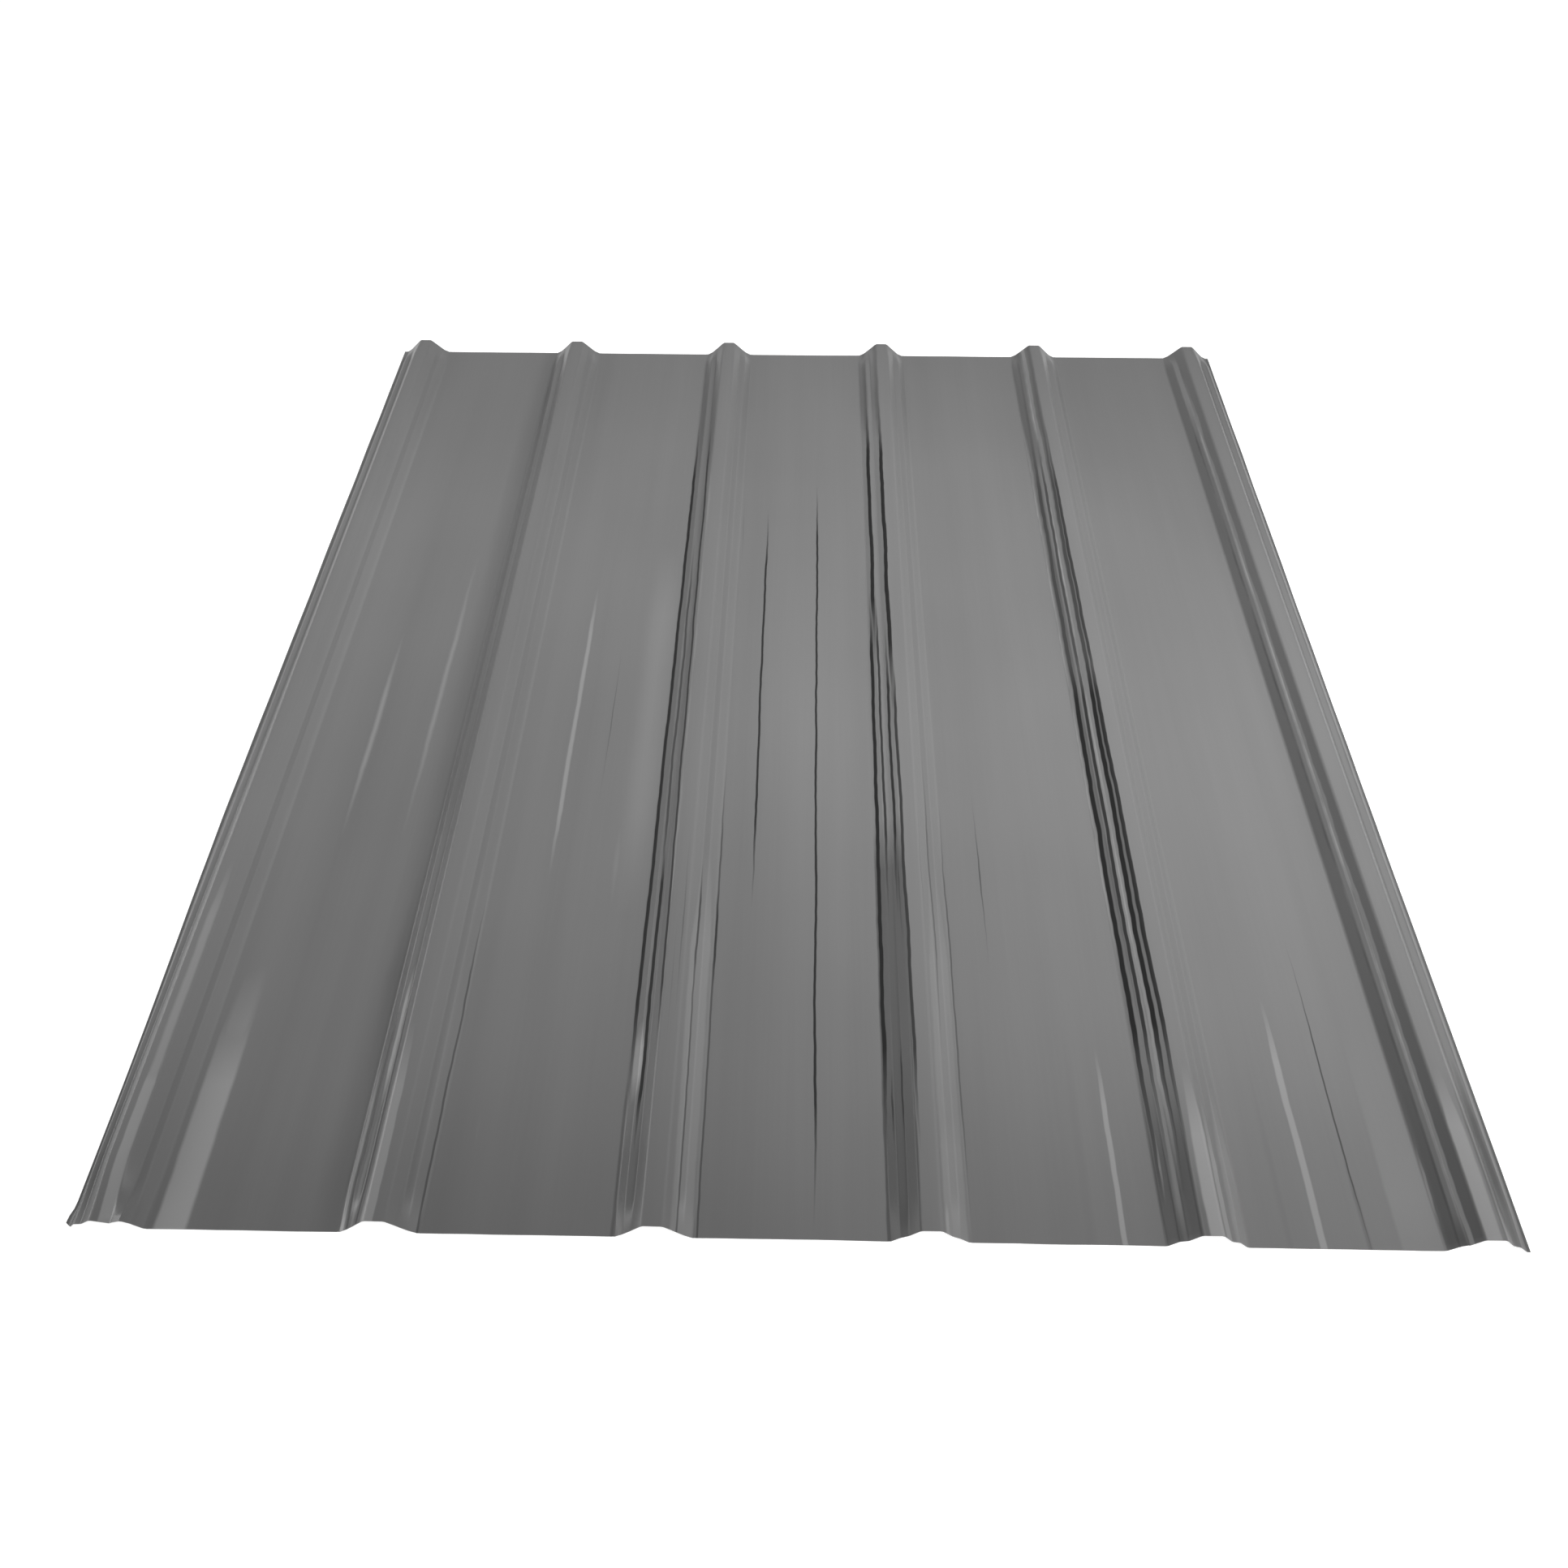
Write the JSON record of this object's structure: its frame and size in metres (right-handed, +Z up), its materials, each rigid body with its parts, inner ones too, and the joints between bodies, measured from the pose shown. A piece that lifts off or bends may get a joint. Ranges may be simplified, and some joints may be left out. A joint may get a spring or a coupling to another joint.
{
  "type": "corrugated metal sheet",
  "caption": "Roll-formed metal roofing sheet with wide flat pans between low box ribs, an underlap edge and an overlap edge.",
  "frame": {"origin": "middle of the sheet's overall width and length, on the plane of the pans' undersides, which it lies on", "axes": "+Z up out of the face that sheds water, +Y along the ribs, +X across them from the underlap edge to the overlap edge"},
  "size_m": [1.063, 1.22, 0.019],
  "materials": {
    "paint": "smooth satin grey coil paint on thin galvanised steel"
  },
  "bodies": {
    "root": {"sheet": "paint"}
  },
  "joints": []
}
